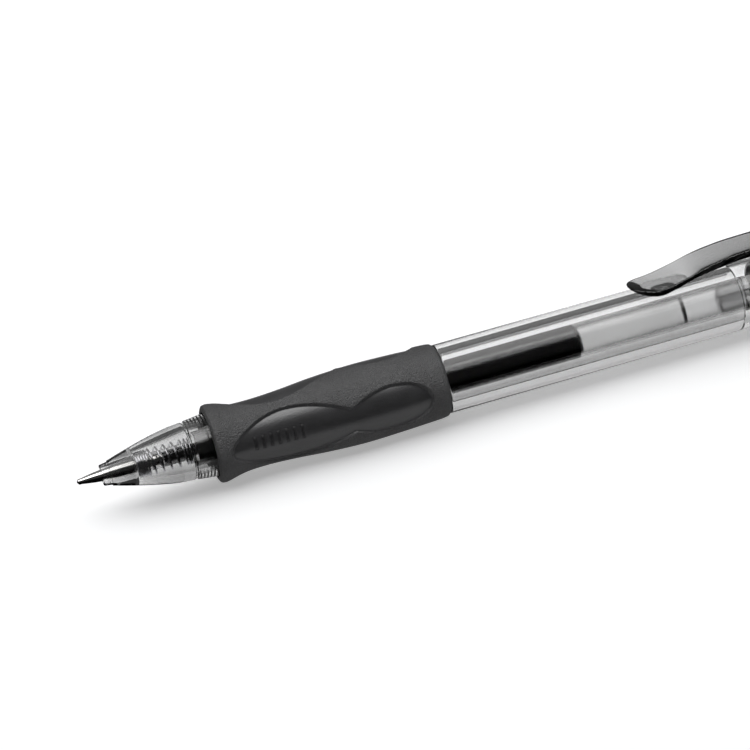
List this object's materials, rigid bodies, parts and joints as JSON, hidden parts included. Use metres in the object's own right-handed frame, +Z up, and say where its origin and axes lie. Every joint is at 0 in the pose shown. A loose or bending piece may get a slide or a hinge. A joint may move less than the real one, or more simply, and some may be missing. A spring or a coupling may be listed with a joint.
{
  "type": "retractable gel pen",
  "caption": "Click gel pen with a clear barrel, tapered nose, contoured rubber grip and sprung pocket clip, shown with the point out.",
  "frame": {"origin": "middle of the pen's length, in its plane of symmetry, on the flat surface that the grip rests on", "axes": "+X along the pen from the point to the push button, +Z straight up through the clip"},
  "size_m": [0.141, 0.0123, 0.0149],
  "materials": {
    "clear_plastic": "polished clear plastic",
    "smoke_plastic": "polished smoke-tinted clear plastic",
    "grip_rubber": "finely grained, with smoother finger recesses",
    "guide_plastic": "moulded",
    "tube_plastic": "milky translucent plastic",
    "black_ink": "liquid gel ink",
    "follower_gel": "clear grease",
    "point_metal": "turned nickel silver",
    "ball_metal": "polished tungsten carbide",
    "spring_steel": "drawn wire"
  },
  "bodies": {
    "barrel_unit": {"barrel": "clear_plastic", "grip": "grip_rubber", "nose_cone": "smoke_plastic", "clip_collar": "smoke_plastic", "guide_sleeve": "guide_plastic", "return_spring": "spring_steel"},
    "clip": {"clip_arm": "smoke_plastic"},
    "button": {"push_button": "smoke_plastic"},
    "refill": {"refill_tube": "tube_plastic", "ink_column": "black_ink", "ink_follower": "follower_gel", "refill_end_plug": "tube_plastic", "tip_holder": "tube_plastic", "writing_point": "point_metal", "ball_spring": "spring_steel"},
    "rotor": {"ratchet_rotor": "guide_plastic"},
    "ball": {"writing_ball": "ball_metal"}
  },
  "joints": [
    {"name": "refill_slide", "type": "slide", "parent": "barrel_unit", "child": "refill", "axis": [1, 0, 0], "range_m": [-0.001, 0.0055], "deforming": ["return_spring"]},
    {"name": "button_press", "type": "slide", "parent": "barrel_unit", "child": "button", "axis": [1, 0, 0], "range_m": [-0.001, 0.0055]},
    {"name": "rotor_turn", "type": "hinge", "parent": "refill", "child": "rotor", "pos_m": [0.043, 0, 0.00617], "axis": [1, 0, 0], "range_deg": [-8.2, 45.1]},
    {"name": "ball_roll", "type": "hinge", "parent": "refill", "child": "ball", "pos_m": [-0.07015, 0, 0.00617], "axis": [0, 1, 0], "continuous": true},
    {"name": "clip_flex", "type": "hinge", "parent": "barrel_unit", "child": "clip", "pos_m": [0.0577, 0, 0.01422], "axis": [0, 1, 0], "range_deg": [0, 5], "stiffness_Nm_per_rad": 0.6, "springref_deg": -0.57}
  ],
  "couplings": [
    {"joint": "button_press", "follows": "refill_slide", "ratio": 1},
    {"joint": "rotor_turn", "follows": "refill_slide", "rad_per_m": 142.8}
  ]
}
